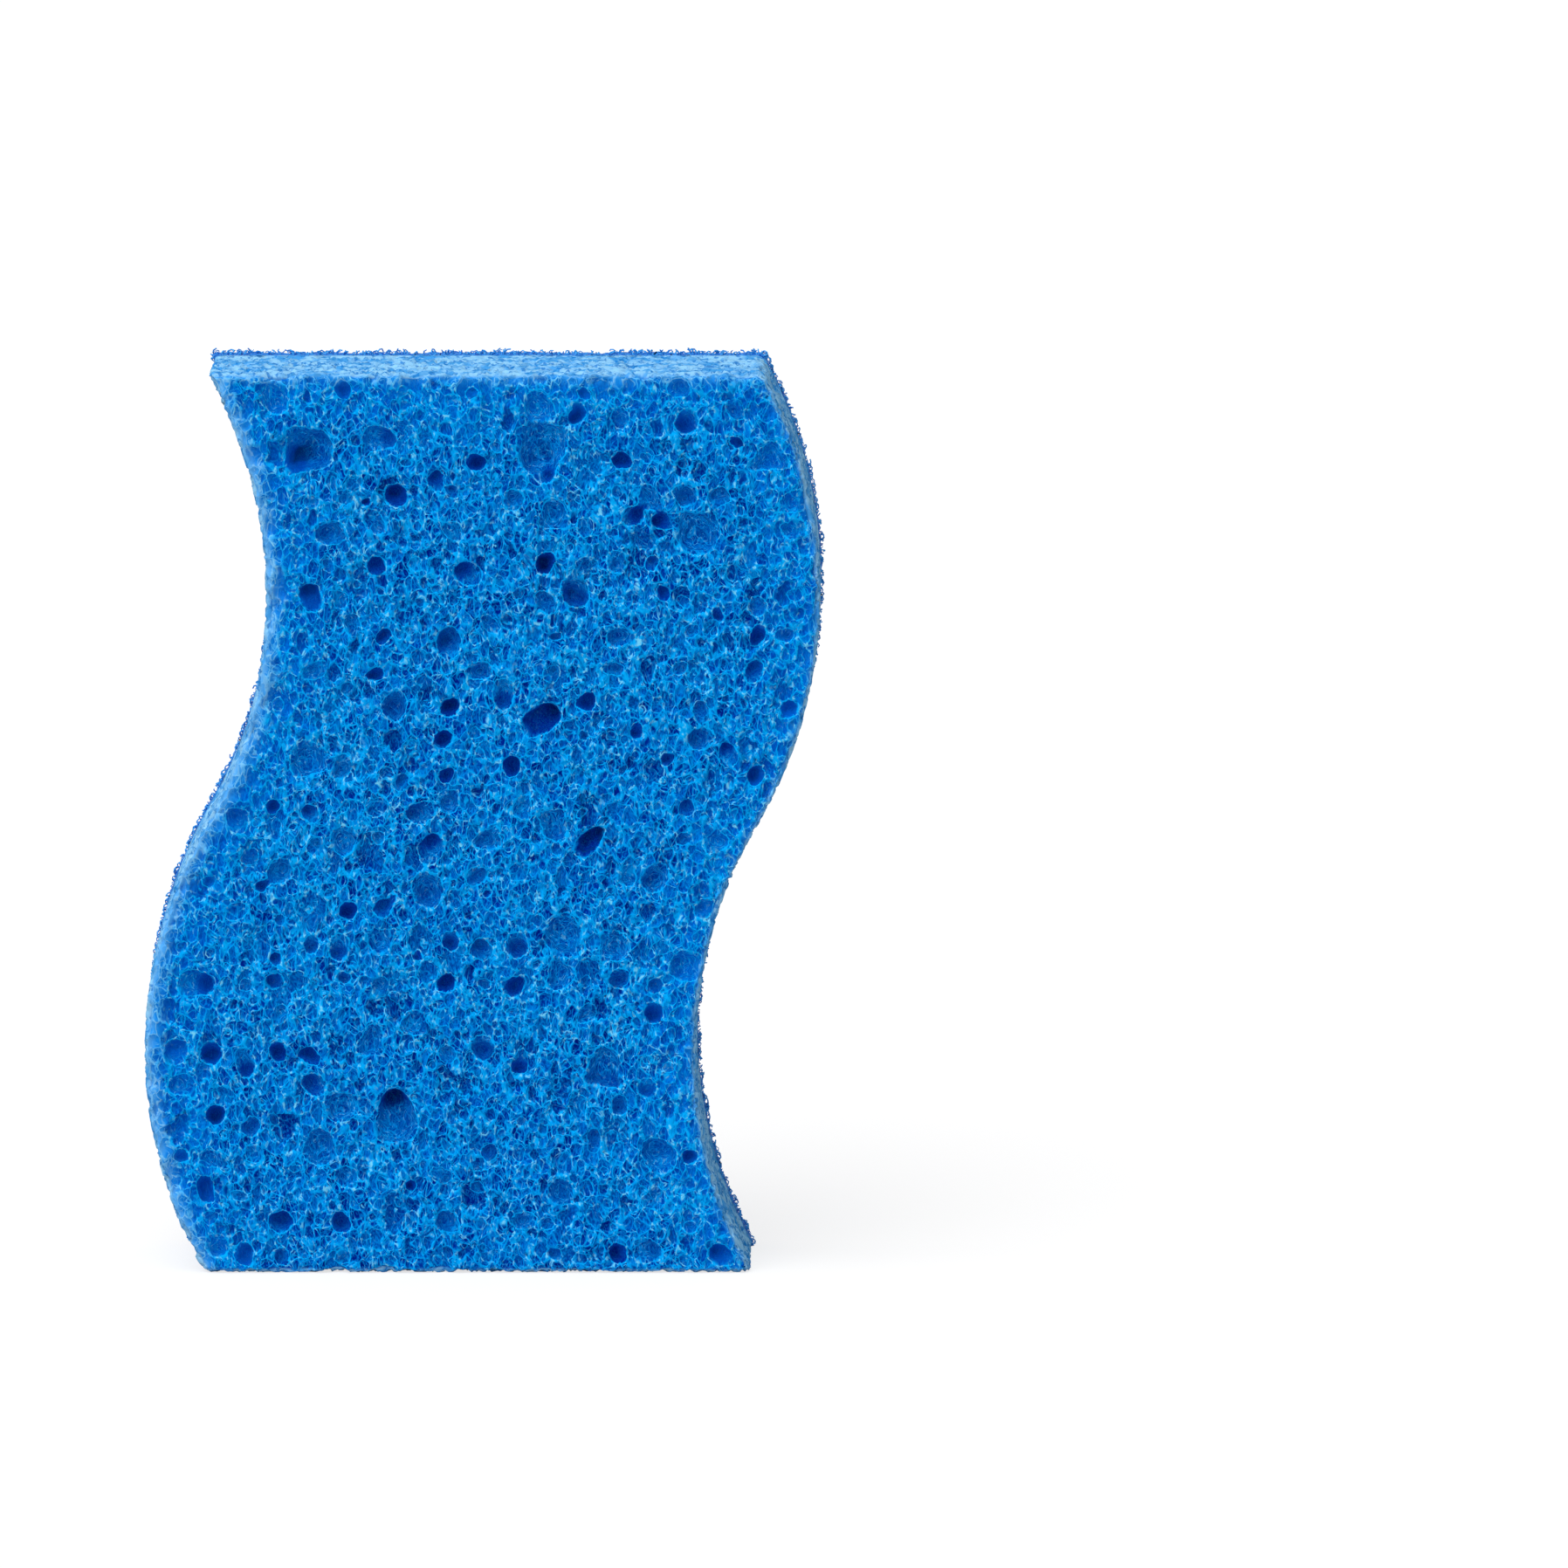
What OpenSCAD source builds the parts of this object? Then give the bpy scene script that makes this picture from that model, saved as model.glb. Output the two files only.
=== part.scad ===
/* [Sponge] */
// Height of the sponge as it stands on one cut end
sponge_h = 112; // [80:1:140]
// Width between the two waved edges, the same at every level
sponge_w = 68; // [50:1:90]
// Thickness of the cellulose foam
foam_t = 16.8; // [12:0.1:24]
// Thickness of the scrub layer, its fibres included
scrub_t = 3.2; // [2.4:0.1:5]

/* [Wave] */
// Length of one full wave of the edges
wave_len = 114; // [90:1:150]
// How far an edge swings out to each side of its middle line
wave_rise = 7.65; // [4:0.05:11]

/* [Open cells of the face] */
// Distance between neighbouring cells of the face
cell_pitch = 4.2; // [3.8:0.1:7]
// Radius of the smallest cell
cell_r_min = 0.5; // [0.3:0.05:0.8]
// Radius of the largest of the scattered cells
cell_r_max = 1.45; // [0.9:0.05:1.5]
// Depth of a cell for each millimetre of its radius
cell_depth = 1.5; // [0.8:0.1:2.2]
// How much longer than wide the most stretched of the scattered cells is
cell_stretch = 0.35; // [0:0.05:0.6]
// How much of its depth the most stretched one lacks, as the cut only skims it
cell_shallow = 0.7; // [0:0.05:0.8]
// Wall left between a cell and the nearest edge or large cell
cell_wall = 0.5; // [0.3:0.1:1.5]
// Radius of the fine cells between the others
fine_r = 0.42; // [0.25:0.01:0.5]
// Which scatter of cells is drawn
cell_seed = 7; // [1:1:60]

/* [Slits of the cut edges] */
// Length of a flattened cell where a cut opens it
slit_len = 2.6; // [1.2:0.1:4]
// Height of that slit across the thickness
slit_h = 0.75; // [0.3:0.05:1]
// How deep the slits go in
slit_deep = 0.9; // [0.4:0.1:2]
// Distance between slits along an edge
slit_pitch = 5.6; // [4.6:0.1:10]
// Rows of slits across the thickness
slit_rows = 4; // [1:1:5]

/* [Scrub fibres] */
// Diameter of a fibre bundle
fibre_d = 1.1; // [0.6:0.1:1.6]
// How far the fibre loops stand out of the layer's flat back
fibre_proud = 0.6; // [0.2:0.1:0.8]
// Radius that the loops curl to
loop_r = 2.6; // [1.6:0.1:4]
// Distance between loops over the back
loop_pitch = 9; // [7:0.5:20]
// How far the loops of the rim reach past the cut edge
fringe = 0.6; // [0:0.1:1.2]
// Distance between loops along the rim
fringe_pitch = 7; // [5:0.5:20]
// Which scatter of loops is drawn
loop_seed = 3; // [1:1:60]

/* [Hidden] */

total_t = foam_t + scrub_t;
face_y = -total_t / 2;
seam_y = face_y + foam_t;
back_y = total_t / 2;
round_fn = 24;
edge_step = 4;

// Radius round the middle of the bottom that is left without slits
rest_r = 7;

// Cells: how far a cutter starts outside, the radius of a cell's floor as a share of its
// mouth's, how strongly small cells outnumber large ones, how many stand upright, how far
// one strays into its free room, and how fine ones vary in size and length
cut_past = 0.2;
pit_floor = 0.55;
small_power = 2;
tall_share = 0.65;
jitter = 0.6;
fine_vary = 0.25;
fine_length = 1.25;

// Slits: the shortest for its height, how far one strays along its row and across it, and
// the middle and the spread of their lengths as shares of the longest
slit_least = 1.1;
slit_stray = 0.2;
row_stray = 0.15;
slit_middle = 0.8;
slit_vary = 0.2;

// Curls: how far round one goes and how that, its radius and its place vary, the angle of
// a curl at the rim, and how a cut fibre end tapers and turns
curl_sweep = 205;
sweep_vary = 55;
curl_vary = 0.25;
curl_stray = 1.3;
rim_sweep = 200;
stub_taper = 0.6;
stub_turn = 20;

// The edges are circular arcs that meet in line, one arc for each half wave
half_wave = wave_len / 2;
arc_r = (pow(half_wave / 2, 2) + pow(wave_rise, 2)) / (2 * wave_rise);

// Large and dark cells of the face: centre across, centre up, half width, half height, depth
// for each millimetre of the smaller of the two, and the angle that the cell leans to the right
large_cells = [
    [-20, 102.5, 3.4, 3, 0.6, 0], [-21.5, 102.5, 1.8, 2, 1.5, 0], [-11.7, 103.7, 2.3, 1.5, 1, 0],
    [-24.9, 108, 1.4, 2.2, 0.9, -20], [-10, 97, 1.4, 1.5, 1.4, 0], [-18.8, 92, 1.9, 1.6, 0.8, 0],
    [-20.9, 84.6, 1.3, 1.7, 1.7, 0], [-2, 87.5, 1.9, 1.4, 1.2, 35], [7.9, 108, 2.1, 1.7, 0.5, 0],
    [7.4, 101.8, 2.8, 3.6, 0.6, 0], [9, 95, 1.6, 2.1, 0.6, 0], [26.5, 91.4, 2.5, 2.9, 0.5, 0],
    [18.9, 94, 1.3, 1.1, 1.6, 0], [22.3, 93.6, 1.3, 1.1, 1.5, 0], [31.4, 103.5, 1, 0.8, 2, 0],
    [11.4, 84.8, 1.7, 1.8, 1.1, 0], [-3.7, 78.8, 1.6, 1.8, 1.1, 0], [2.7, 72, 1.3, 1.9, 1.2, 0],
    [7.8, 69.5, 2.9, 1.6, 2, -28], [39.4, 76.3, 1.7, 1.6, 0.9, 0], [-21.5, 65.2, 2, 2.5, 0.5, -20],
    [-10.4, 70.6, 1.6, 1.7, 1, 0], [30.2, 65.6, 1, 1.6, 1.8, 0], [26.3, 67.2, 1.7, 1.4, 1, 0],
    [-30.1, 57.2, 1.5, 1.7, 0.8, 0], [-8, 57.6, 1.7, 1.3, 1, 0], [-6.1, 53.6, 1.4, 1.8, 1.2, 0],
    [8.8, 55, 1.3, 2.8, 1, 0], [13.5, 54.5, 1.5, 2.4, 1.8, 38], [-6.8, 47.4, 2, 2.4, 0.8, 0],
    [-23.9, 50.4, 1.9, 1.5, 0.7, 0], [21.2, 48.8, 1.7, 1.9, 0.8, 0], [10, 43.1, 2.4, 2.6, 0.5, 0],
    [24.5, 38.6, 2, 1.7, 0.8, 0], [-34.3, 36.2, 2.2, 1.6, 1.2, 0], [-17.3, 40.5, 1.1, 1.6, 1.4, 0],
    [-13.6, 30, 1.3, 2.4, 0.7, 0], [-28.9, 26, 1.3, 2, 1.3, -20], [-10.8, 20.4, 2.2, 3.7, 1.3, 0],
    [-17.1, 20, 1.8, 2.3, 0.5, 0], [-20.3, 16.5, 1.7, 2.4, 0.8, 0], [4.5, 26, 1.1, 1.6, 1.6, 0],
    [15.2, 27.4, 1.4, 3.4, 0.7, 4], [20.2, 23, 1, 1.6, 1.7, -10], [21.7, 15.6, 2, 2.2, 0.7, 0],
    [-17.4, 6.5, 1.2, 1.2, 1.3, 0], [9.4, 10.3, 1.7, 1.7, 0.7, 0], [-33, 3.2, 1.2, 1.6, 0.9, 0],
    [7.7, 99.3, 1.4, 0.9, 3, 10], [11.8, 106.7, 1.2, 1.3, 1.4, 0], [22.4, 85, 0.8, 0.9, 1.8, 0],
    [29.1, 82.2, 0.8, 0.9, 1.6, 0], [-5.3, 98.8, 0.9, 1.1, 1.6, 0], [-13.8, 96, 0.8, 0.8, 1.7, 0],
    [-3.4, 97.4, 0.7, 0.9, 1.6, 0], [-12, 92.7, 0.9, 2, 1.1, -42], [1.4, 81.1, 0.8, 1.3, 1.3, -25],
    [-18.8, 88.4, 1, 0.7, 1.4, 45], [-15.6, 81.3, 0.9, 1.3, 1, 0], [31.2, 107.1, 1.3, 1.4, 0.7, 0],
    [35.5, 102.9, 1.4, 2.3, 0.5, 0], [19.2, 67.6, 0.9, 1, 1.5, 0], [22.6, 64, 0.9, 0.9, 1.4, 0],
    [9, 61.5, 0.5, 0.9, 1.6, 0], [15.1, 59.8, 0.6, 0.9, 1.6, -50], [17.8, 49.1, 0.8, 1.3, 1.2, 0],
    [26.9, 70.6, 1, 1.5, 1.1, -20], [-16.6, 72.8, 1.3, 0.8, 1.3, 35], [-20.7, 57.5, 0.9, 1.2, 1.5, -15],
    [-26.9, 48.6, 0.8, 0.8, 1.6, 0], [-25.3, 39.6, 0.8, 0.9, 1.5, -25], [-8, 39.8, 0.7, 0.8, 1.7, 0],
    [-9.5, 61.8, 0.8, 1, 1.4, 0], [-28.8, 52, 0.9, 1.1, 1.2, 0], [0.4, 47.1, 0.6, 0.6, 2, 0],
    [-25.8, 19.1, 0.7, 1, 1.5, 0], [-28.4, 18.3, 1.3, 1.1, 1.1, 0], [-14.3, 20, 0.6, 1.7, 1, 0],
    [-4.4, 12, 1.4, 0.8, 1.5, 35], [11.8, 19.4, 0.7, 2.1, 1.1, -5], [13.7, 16.7, 1, 1.3, 1.2, 0],
    [16.7, 21, 1.2, 1.4, 0.9, 0], [9.7, 14.5, 0.7, 1.6, 1, 0], [-17.5, 11.7, 1.5, 1.2, 0.7, 0],
    [21.4, 2.6, 1.9, 1.3, 0.9, 0], [8.9, 36.8, 1.2, 2, 0.7, 25], [27.2, 46.1, 1.1, 1.2, 1, 0]];

// Sideways swing of both edges at height z, from the arcs
function half_index(z) = floor((z - sponge_h / 2) / half_wave);
function arc_pos(z) = z - sponge_h / 2 - (half_index(z) + 0.5) * half_wave;
function swing_side(z) = half_index(z) % 2 == 0 ? 1 : -1;
function swing(z) = swing_side(z) * (sqrt(pow(arc_r, 2) - pow(arc_pos(z), 2)) - arc_r + wave_rise);
function edge_angle(z) = atan(-swing_side(z) * arc_pos(z) / sqrt(pow(arc_r, 2) - pow(arc_pos(z), 2)));

// One number between 0 and 1 for each index of a scatter
scatter = rands(0, 1, 4000, cell_seed);
curls = rands(0, 1, 2000, loop_seed);
function pick(list, i, k) = list[(i * 5 + k) % len(list)];
function around(list, i, k, middle, spread) = middle + spread * (2 * pick(list, i, k) - 1);

// The grid that the scattered and the fine cells share
columns = floor((sponge_w + 2 * wave_rise) / cell_pitch);
rows = floor(sponge_h / cell_pitch);
row_pitch = sponge_h / rows;
slit_gap = foam_t / slit_rows;

function clear_of_large(x, z, r) =
    len([for (c = large_cells) if (norm([x - c[0], z - c[1]]) < r + max(c[2], c[3]) + cell_wall) 1]) == 0;
function clear_of_rim(x, z, r) =
    abs(x - swing(z)) < sponge_w / 2 - r / cos(edge_angle(z)) - cell_wall
    && z > r + cell_wall && z < sponge_h - r - cell_wall;

// Plan of the sponge: two equal waved edges joined by straight cuts
module wave_plan() {
    steps = ceil(sponge_h / edge_step);
    levels = [for (i = [0 : steps]) sponge_h * i / steps];
    right = [for (z = levels) [sponge_w / 2 + swing(z), z]];
    left = [for (i = [steps : -1 : 0]) [-sponge_w / 2 + swing(levels[i]), levels[i]]];
    polygon(concat(right, left));
}

// A slab of that plan between two depths
module wave_slab(y_front, y_back) {
    translate([0, y_back, 0]) rotate([90, 0, 0]) linear_extrude(y_back - y_front) wave_plan();
}

// A cell that the cut has opened in the face: a tapered pit that slopes along its longer axis
module open_cell(x, z, half_w, half_h, depth, slope_up, turn = 0) {
    r = min(half_w, half_h);
    slope = acos(r / max(half_w, half_h)) * slope_up;
    outside = r * tan(abs(slope)) + cut_past;
    taper = r * (1 - pit_floor) / depth;
    long_axis = half_h > half_w ? 0 : 90;
    translate([x, face_y, z]) rotate([0, long_axis + turn, 0]) rotate([slope - 90, 0, 0])
        translate([0, 0, -outside])
            cylinder(h = outside + depth, r1 = r + taper * outside, r2 = r * pit_floor, $fn = round_fn);
}

// A flattened cell that a cut edge has opened: a round cutter laid over until its rim is a slit
module slit(length) {
    lean = acos(slit_h / max(length, slit_h * slit_least));
    outside = slit_h / 2 * tan(lean) + cut_past;
    rotate([0, lean, 0]) translate([0, 0, -outside])
        cylinder(h = outside + slit_deep / cos(lean), d = slit_h, $fn = round_fn);
}

module large_open_cells() {
    for (i = [0 : len(large_cells) - 1]) {
        c = large_cells[i];
        if (clear_of_rim(c[0], c[1], max(c[2], c[3])))
            open_cell(c[0], c[1], c[2], c[3], c[4] * min(c[2], c[3]), i % 2 == 0 ? 1 : -1, c[5]);
    }
}

// Cells of many sizes, one in each square of the grid that is free
module scattered_cells() {
    for (j = [0 : rows - 1], i = [0 : columns - 1]) {
        k = j * columns + i;
        r = cell_r_min + (cell_r_max - cell_r_min) * pow(pick(scatter, k, 0), small_power);
        long_r = r * (1 + cell_stretch * pick(scatter, k, 1));
        depth = cell_depth * r * (1 - cell_shallow * pick(scatter, k, 1));
        spare = jitter * max(0, cell_pitch / 2 - long_r);
        x = around(scatter, k, 2, (i + 0.5 - columns / 2) * cell_pitch, spare);
        z = around(scatter, k, 3, (j + 0.5) * row_pitch, spare);
        tall = pick(scatter, k, 4) < tall_share;
        if (clear_of_large(x, z, long_r) && clear_of_rim(x, z, long_r))
            open_cell(x, z, tall ? r : long_r, tall ? long_r : r, depth, k % 2 == 0 ? 1 : -1);
    }
}

// Fine cells at the corners where four squares of the grid leave room
module fine_cells() {
    for (j = [1 : rows - 1], i = [1 : columns - 1]) {
        k = (rows + j) * columns + i;
        r = fine_r * around(scatter, k, 2, 1, fine_vary);
        x = around(scatter, k, 3, (i - columns / 2) * cell_pitch, fine_r / 2);
        z = around(scatter, k, 1, j * row_pitch, fine_r / 2);
        if (clear_of_large(x, z, r) && clear_of_rim(x, z, r))
            open_cell(x, z, r, r * fine_length, cell_depth * r, k % 2 == 0 ? 1 : -1);
    }
}

// Slits in rows along both waved edges, each square to the edge where it lies
module edge_slits() {
    up = floor(sponge_h / slit_pitch);
    for (side = [-1, 1], j = [0 : up - 1], row = [0 : slit_rows - 1]) {
        k = (j * slit_rows + row) * 2 + side + 1;
        z = around(scatter, k, 0, j + 0.5, slit_stray) * sponge_h / up;
        y = face_y + around(scatter, k, 1, row + 0.5, row_stray) * slit_gap;
        translate([side * sponge_w / 2 + swing(z), y, z])
            rotate([0, edge_angle(z) - side * 90, 0]) rotate([0, 0, side > 0 ? 0 : 180])
                slit(slit_len * around(scatter, k, 2, slit_middle, slit_vary));
    }
}

// Slits in rows across both cut ends
module end_slits() {
    across = floor((sponge_w - 2 * cell_wall) / slit_pitch);
    for (top = [0, 1], i = [0 : across - 1], row = [0 : slit_rows - 1]) {
        k = (i * slit_rows + row) * 2 + top;
        z = top * sponge_h;
        x = swing(z) + around(scatter, k, 3, i + 0.5 - across / 2, slit_stray) * slit_pitch;
        y = face_y + around(scatter, k, 4, row + 0.5, row_stray) * slit_gap;
        if (top == 1 || abs(x) > rest_r) translate([x, y, z]) rotate([0, top * 180, 0])
            slit(slit_len * around(scatter, k, 2, slit_middle, slit_vary));
    }
}

// The thick foam: a waved slab whose face and cut edges open its cells
module sponge_body() {
    color([0.05, 0.43, 0.76]) difference() {
        wave_slab(face_y, seam_y);
        large_open_cells();
        scattered_cells();
        fine_cells();
        edge_slits();
        end_slits();
    }
}

// One curl of a fibre bundle: a round of the layer's plane swept with a square section
module curl(x, y, z, r, start, sweep) {
    stations = 5;
    sides = 4;
    end_share = 0.5;
    points = [for (k = [0 : stations], s = [0 : sides - 1])
        let (a = start + sweep * k / stations,
             t = 360 * (s + 0.5) / sides,
             w = fibre_d / sqrt(2) * (k == 0 || k == stations ? end_share : 1))
        [x + (r + w * cos(t)) * cos(a), y + w * sin(t), z + (r + w * cos(t)) * sin(a)]];
    walls = [for (k = [0 : stations - 1], s = [0 : sides - 1])
        let (next = (s + 1) % sides)
        [k * sides + s, (k + 1) * sides + s, (k + 1) * sides + next, k * sides + next]];
    caps = [[for (s = [0 : sides - 1]) s], [for (s = [sides - 1 : -1 : 0]) stations * sides + s]];
    polyhedron(points, concat(walls, caps));
}

// A cut fibre end that sticks out of the rim
module stub(length) {
    hull() {
        sphere(d = fibre_d, $fn = 5);
        translate([length, 0, 0]) sphere(d = fibre_d * stub_taper, $fn = 5);
    }
}

module back_curls() {
    up = floor(sponge_h / loop_pitch);
    across = floor(sponge_w / loop_pitch);
    for (j = [0 : up - 1], i = [0 : across - 1]) {
        k = j * across + i;
        z = (j + 0.5) * sponge_h / up;
        x = swing(z) + around(curls, k, 0, (i + 0.5 - across / 2) * sponge_w / across, curl_stray);
        r = loop_r * around(curls, k, 1, 1, curl_vary);
        sweep = around(curls, k, 3, curl_sweep, sweep_vary);
        curl(x, back_y - fibre_d / 2, z, r, 360 * pick(curls, k, 2), sweep);
    }
}

// Curls and cut ends in turn along both waved edges, and curls along the top
module rim_fibres() {
    y = back_y - scrub_t / 2;
    r = loop_r / 2;
    reach = fringe - r - fibre_d / 2;
    up = floor(sponge_h / fringe_pitch);
    for (side = [-1, 1], j = [1 : up - 1]) {
        z = j * sponge_h / up;
        edge = side * sponge_w / 2 + swing(z);
        outward = 90 - side * 90;
        if (j % 2 == 0) curl(edge + side * reach, y, z, r, outward - rim_sweep / 2, rim_sweep);
        else translate([edge - side * fibre_d, y, z])
            rotate([0, around(curls, j, 4, outward, stub_turn), 0])
                stub(fibre_d * (1 - stub_taper / 2) + fringe);
    }
    across = floor(sponge_w / fringe_pitch);
    for (i = [1 : across - 1]) {
        x = swing(sponge_h) + (i - across / 2) * sponge_w / across;
        curl(x, y, sponge_h + reach, r, 90 - rim_sweep / 2, rim_sweep);
    }
}

// The thin scrub layer: a mat whose fibres curl out of its back and past its cut rim
module scrub_layer() {
    color([0.02, 0.25, 0.62]) union() {
        wave_slab(seam_y, back_y - fibre_proud);
        back_curls();
        rim_fibres();
    }
}

sponge_body();
scrub_layer();
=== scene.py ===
# %% [markdown]
# # A waved cleaning sponge
# A household sponge is a thick slab of cellulose foam with a thin scrubbing layer glued to its
# back. The sheet is cut into waved pieces, and the cut opens the foam's cells, so every face is
# full of holes. Here the sponge stands on one cut end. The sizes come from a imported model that
# stays fixed, and this script only gives it its looks.

# %% Load the fixed frame
import math
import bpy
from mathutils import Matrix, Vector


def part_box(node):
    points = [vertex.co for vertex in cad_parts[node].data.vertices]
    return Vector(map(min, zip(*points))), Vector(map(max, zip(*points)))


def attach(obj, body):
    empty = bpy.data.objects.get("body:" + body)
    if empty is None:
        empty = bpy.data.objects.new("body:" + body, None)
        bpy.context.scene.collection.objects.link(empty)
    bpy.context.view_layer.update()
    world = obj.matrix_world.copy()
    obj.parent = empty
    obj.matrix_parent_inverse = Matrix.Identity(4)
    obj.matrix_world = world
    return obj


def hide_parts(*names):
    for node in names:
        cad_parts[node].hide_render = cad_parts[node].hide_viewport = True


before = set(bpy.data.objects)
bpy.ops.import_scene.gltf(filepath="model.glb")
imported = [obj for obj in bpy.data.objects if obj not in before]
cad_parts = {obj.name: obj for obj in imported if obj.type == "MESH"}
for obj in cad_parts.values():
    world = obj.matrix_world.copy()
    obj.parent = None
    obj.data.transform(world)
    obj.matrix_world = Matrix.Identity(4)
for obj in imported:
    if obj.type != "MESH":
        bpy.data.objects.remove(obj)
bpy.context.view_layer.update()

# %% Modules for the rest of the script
from types import SimpleNamespace

import bpy
import numpy as np
from mathutils import Euler, Vector
from mathutils.bvhtree import BVHTree

# %% [markdown]
# The outline is ruled by very few numbers. Each waved edge is a chain of circular arcs that meet
# in line, one arc for each half wave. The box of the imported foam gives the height, the depths and
# the swing of the wave, so nothing here can drift away from the model.

# %% Sizes, in metres
MM = 0.001
foam_low, foam_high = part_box("sponge_body")
scrub_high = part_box("scrub_layer")[1]
HEIGHT = foam_high.z - foam_low.z
WIDTH = 68 * MM
WAVE_LENGTH = 114 * MM
FACE_Y, SEAM_Y, BACK_Y = foam_low.y, foam_high.y, scrub_high.y
WAVE_RISE = (foam_high.x - foam_low.x - WIDTH) / 2
ARC_RADIUS = ((WAVE_LENGTH / 4) ** 2 + WAVE_RISE ** 2) / (2 * WAVE_RISE)


def wave(z):
    """Sideways swing of both edges at height z, and its slope there."""
    half = WAVE_LENGTH / 2
    index = np.floor((z - HEIGHT / 2) / half)
    along = z - HEIGHT / 2 - (index + 0.5) * half
    side = np.where(index % 2 == 0, 1.0, -1.0)
    root = np.sqrt(ARC_RADIUS ** 2 - along ** 2)
    return side * (root - ARC_RADIUS + WAVE_RISE), -side * along / root


print("swing to each side, mm:", round(WAVE_RISE / MM, 2), "arc radius, mm:", round(ARC_RADIUS / MM, 1))

# %% [markdown]
# A photograph of a small thing is usually taken from a distance with a long lens, which keeps
# upright edges upright. The camera stands a metre and a half away, a little to the right of the
# sponge and above it, and looks gently down. The aim and the lens are chosen so that the sponge
# fills the left half of a square picture.

# %% Camera
CAMERA_DISTANCE = 1.5
CAMERA_RISE = math.radians(9.5)
CAMERA_PITCH = math.radians(9.365)
CAMERA_SIDE = 37.12 * MM
LENS_SENSOR = 36.0
LENS_LENGTH = 279.0
VIEW_NEAR, VIEW_FAR = 0.05, 40.0


def new_object(name, data):
    made = bpy.data.objects.new(name, data)
    bpy.context.scene.collection.objects.link(made)
    return made


camera_data = bpy.data.cameras.new("camera")
camera_data.sensor_width = LENS_SENSOR
camera_data.lens = LENS_LENGTH
camera_data.clip_start, camera_data.clip_end = VIEW_NEAR, VIEW_FAR
camera = new_object("camera", camera_data)
camera.location = (
    CAMERA_SIDE,
    -CAMERA_DISTANCE * math.cos(CAMERA_RISE),
    HEIGHT / 2 + CAMERA_DISTANCE * math.sin(CAMERA_RISE),
)
camera.rotation_euler = (math.pi / 2 - CAMERA_PITCH, 0, 0)
bpy.context.scene.camera = camera
print("camera at, m:", [round(v, 3) for v in camera.location], "lens, mm:", LENS_LENGTH)

# %% [markdown]
# The foam starts as a closed block of small squares with softly rounded cut edges. Every point of
# it is worked out at once with arrays, which is much faster than a loop over points. The points
# lie on a lattice of three counts, and only those of the surface are kept. The hidden side, where
# the two layers are glued, needs only one strip of faces for each level.

# %% Points of a block with waved sides
# Keeps a division by no length safe
TINY = 1e-9


def block_points(y0, y1, counts, corner):
    """Surface points of a waved block, their outward directions and their places in the lattice."""
    nx, ny, nz = counts
    i, j, k = np.meshgrid(np.arange(nx + 1), np.arange(ny + 1), np.arange(nz + 1), indexing="ij")
    shown = (i == 0) | (i == nx) | (k == 0) | (k == nz) | (j == 0)
    index = np.full(shown.shape, -1)
    index[shown] = np.arange(shown.sum())
    flat = np.stack([
        i[shown] / nx * WIDTH - WIDTH / 2,
        y0 + j[shown] / ny * (y1 - y0),
        k[shown] / nz * HEIGHT,
    ], axis=1)
    away = np.sign(y1 - y0)
    low = np.array([-WIDTH / 2 + corner, min(y0, y1) + corner, corner])
    high = np.array([WIDTH / 2 - corner, max(y0, y1) - corner, HEIGHT - corner])
    core = np.clip(flat, low, high)
    glued = (flat[:, 1] - y0) * away > corner
    core[glued, 1] = flat[glued, 1]
    out = flat - core
    length = np.linalg.norm(out, axis=1, keepdims=True)
    out = out / np.maximum(length, TINY)
    points = core + out * corner
    swing, slope = wave(points[:, 2])
    points[:, 0] += swing
    normal = out.copy()
    normal[:, 2] -= out[:, 0] * slope
    normal /= np.linalg.norm(normal, axis=1, keepdims=True)
    return points, normal, index


# %% Faces of that block
def block_faces(index, counts, turned):
    """One polygon for each lattice square, outward unless turned."""
    nx, ny, nz = counts

    def sheet(a):
        return np.stack([a[:-1, :-1], a[1:, :-1], a[1:, 1:], a[:-1, 1:]], -1).reshape(-1, 4)

    quads = np.concatenate([
        sheet(index[:, 0, :]),
        sheet(index[0, :, :])[:, ::-1],
        sheet(index[nx, :, :]),
        sheet(index[:, :, 0])[:, ::-1],
        sheet(index[:, :, nz]),
    ])
    glued = index[:, ny, :]
    faces = quads.tolist()
    faces += [[glued[0, k], glued[0, k + 1], glued[nx, k + 1], glued[nx, k]] for k in range(1, nz - 1)]
    faces.append([glued[0, 0], glued[0, 1], glued[nx, 1], *glued[nx:0:-1, 0]])
    faces.append([glued[0, nz - 1], *glued[:, nz], glued[nx, nz - 1]])
    faces = [[int(v) for v in f] for f in faces]
    return [f[::-1] for f in faces] if turned else faces


# %% Block of foam
FOAM_COUNTS = ((240, 48, 396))
FOAM_CORNER = 0.9 * MM


def waved_block(name, y0, y1, counts, corner):
    """A block from its shown side y0 to its glued side y1, with its points, directions and lattice."""
    points, normal, index = block_points(y0, y1, counts, corner)
    mesh = bpy.data.meshes.new(name)
    mesh.from_pydata(points.tolist(), [], block_faces(index, counts, y1 < y0))
    return new_object(name, mesh), points, normal, index


foam_block, foam_points, foam_normals, foam_index = waved_block(
    "foam_block", FACE_Y, SEAM_Y, FOAM_COUNTS, FOAM_CORNER)
print("foam block:", len(foam_points), "points")

# %% [markdown]
# Nothing in foam is neat, so much of this script shifts points by smooth random lumps. Random
# numbers at the corners of a lattice, blended in between, give such lumps. Their seeds are fixed,
# so every run gives the same sponge.

# %% Smooth random shifts
# The lattice of the random shifts is turned, so that it leaves no upright or level edges
LATTICE_TURN = np.array(Euler((0.5, 0.7, 0.9)).to_matrix())
LATTICE_SIDE = 64


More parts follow.
